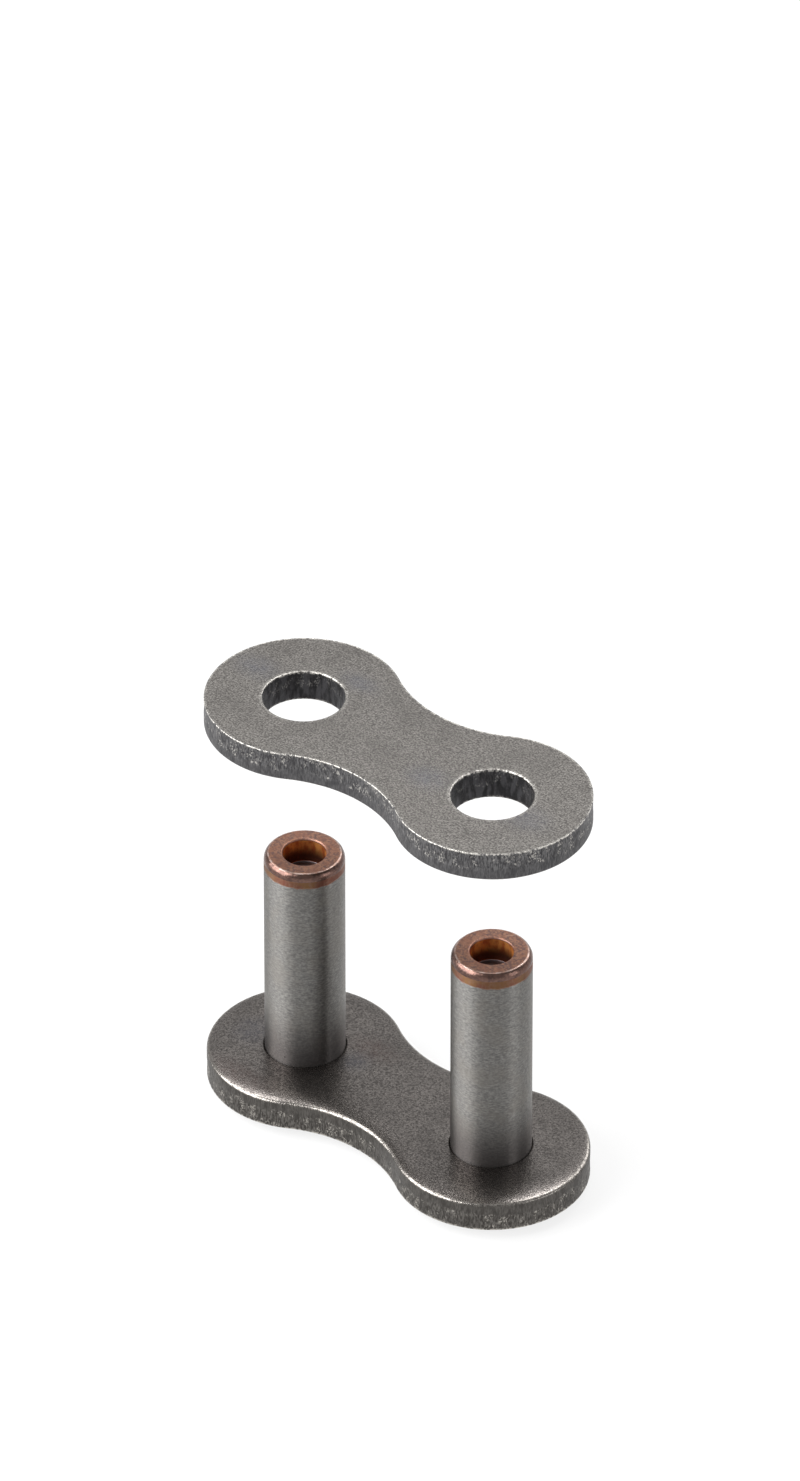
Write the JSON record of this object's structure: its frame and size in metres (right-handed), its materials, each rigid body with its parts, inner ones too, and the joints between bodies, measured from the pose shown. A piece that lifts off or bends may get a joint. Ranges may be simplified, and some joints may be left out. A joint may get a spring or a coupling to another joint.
{
  "type": "chain connecting link",
  "caption": "Roller chain connecting link, opened: waisted steel base plate with riveted pins, hollow copper-toned pin tips, and a loose waisted cover plate raised above them.",
  "frame": {"origin": "midway between the two pins, on the surface that the riveted ends stand on", "axes": "+X from the left pin to the right pin, +Z along the pins from the base plate to the cover plate"},
  "size_m": [0.0286, 0.0126, 0.0305],
  "materials": {
    "base_plate": "tumbled, dark oiled steel",
    "pin": "ground steel, with copper-plated hollow tips",
    "cover_plate": "tumbled matte steel"
  },
  "bodies": {
    "pin_side": {"base_plate": "base_plate", "left_pin": "pin", "right_pin": "pin"},
    "cover_side": {"cover_plate": "cover_plate"}
  },
  "joints": [
    {"name": "plate_slide", "type": "slide", "parent": "pin_side", "child": "cover_side", "axis": [0, 0, 1], "range_m": [-0.01395, 0.012]}
  ]
}
